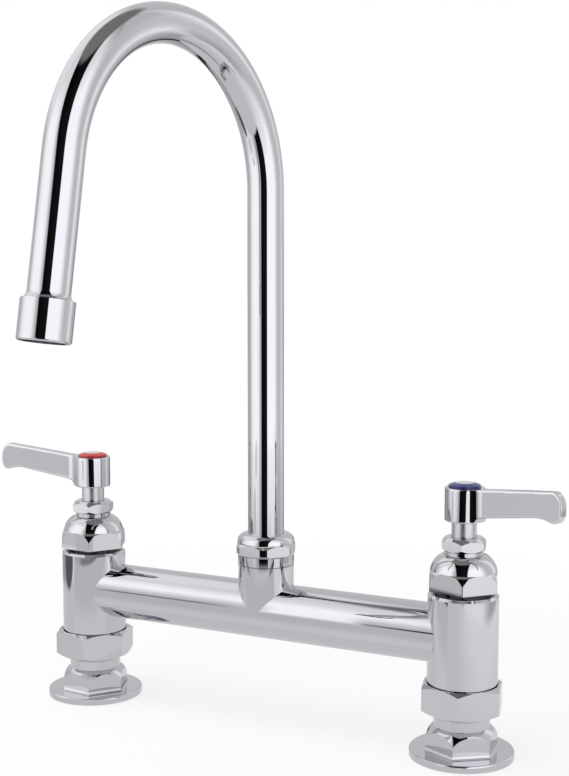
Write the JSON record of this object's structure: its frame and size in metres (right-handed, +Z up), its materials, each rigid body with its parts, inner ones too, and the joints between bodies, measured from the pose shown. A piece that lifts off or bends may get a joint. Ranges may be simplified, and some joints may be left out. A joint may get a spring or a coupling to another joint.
{
  "type": "kitchen faucet",
  "caption": "Deck-mount bridge faucet in polished chrome with lever valves on upright legs and a swinging gooseneck spout.",
  "frame": {"origin": "on the deck plane, midway between the two inlets", "axes": "+Z up, +X from the hot inlet to the cold inlet, -Y towards the person at the sink"},
  "size_m": [0.3097, 0.1838, 0.3368],
  "materials": {
    "chrome": "polished chrome on brass",
    "steel": "stainless, fine brushed",
    "brass": "turned, bare",
    "ceramic": "lapped alumina ceramic",
    "rubber": "moulded, matte",
    "white_plastic": "white PTFE",
    "grey_plastic": "moulded acetal",
    "index_metal": "satin, domed",
    "hot_red": "gloss",
    "cold_blue": "gloss"
  },
  "bodies": {
    "faucet_body": {"hot_inlet_fitting": "chrome", "hot_retaining_ring": "steel", "hot_coupling_nut": "chrome", "hot_union_washer": "rubber", "hot_valve_leg": "chrome", "hot_seat_seal": "rubber", "hot_stator_disc": "ceramic", "hot_cartridge_housing": "chrome", "hot_cartridge_oring": "rubber", "hot_bonnet": "chrome", "hot_packing_nut": "chrome", "hot_packing_ring": "white_plastic", "cold_inlet_fitting": "chrome", "cold_retaining_ring": "steel", "cold_coupling_nut": "chrome", "cold_union_washer": "rubber", "cold_valve_leg": "chrome", "cold_seat_seal": "rubber", "cold_stator_disc": "ceramic", "cold_cartridge_housing": "chrome", "cold_cartridge_oring": "rubber", "cold_bonnet": "chrome", "cold_packing_nut": "chrome", "cold_packing_ring": "white_plastic", "bridge_tube": "chrome", "spout_tee": "chrome", "swivel_adapter": "chrome", "swivel_orings": "rubber", "swivel_washer": "white_plastic", "spout_nut": "chrome"},
    "hot_handle": {"hot_rotor_disc": "ceramic", "hot_stem": "chrome", "hot_stem_orings": "rubber", "hot_lever_handle": "chrome", "hot_handle_screw": "steel", "hot_index_ring": "hot_red", "hot_index_disc": "index_metal"},
    "cold_handle": {"cold_rotor_disc": "ceramic", "cold_stem": "chrome", "cold_stem_orings": "rubber", "cold_lever_handle": "chrome", "cold_handle_screw": "steel", "cold_index_ring": "cold_blue", "cold_index_disc": "index_metal"},
    "spout": {"gooseneck_tube": "chrome", "spout_collar": "brass", "outlet_ferrule": "chrome", "outlet_washer": "rubber", "outlet_screen": "steel", "flow_straightener": "grey_plastic"}
  },
  "joints": [
    {"name": "hot_lever_turn", "type": "hinge", "parent": "faucet_body", "child": "hot_handle", "pos_m": [-0.1016, 0, 0.109], "axis": [0, 0, 1], "range_deg": [0, 90]},
    {"name": "cold_lever_turn", "type": "hinge", "parent": "faucet_body", "child": "cold_handle", "pos_m": [0.1016, 0, 0.109], "axis": [0, 0, -1], "range_deg": [0, 90]},
    {"name": "spout_swivel", "type": "hinge", "parent": "faucet_body", "child": "spout", "pos_m": [0, 0, 0.0793], "axis": [0, 0, 1], "continuous": true}
  ]
}
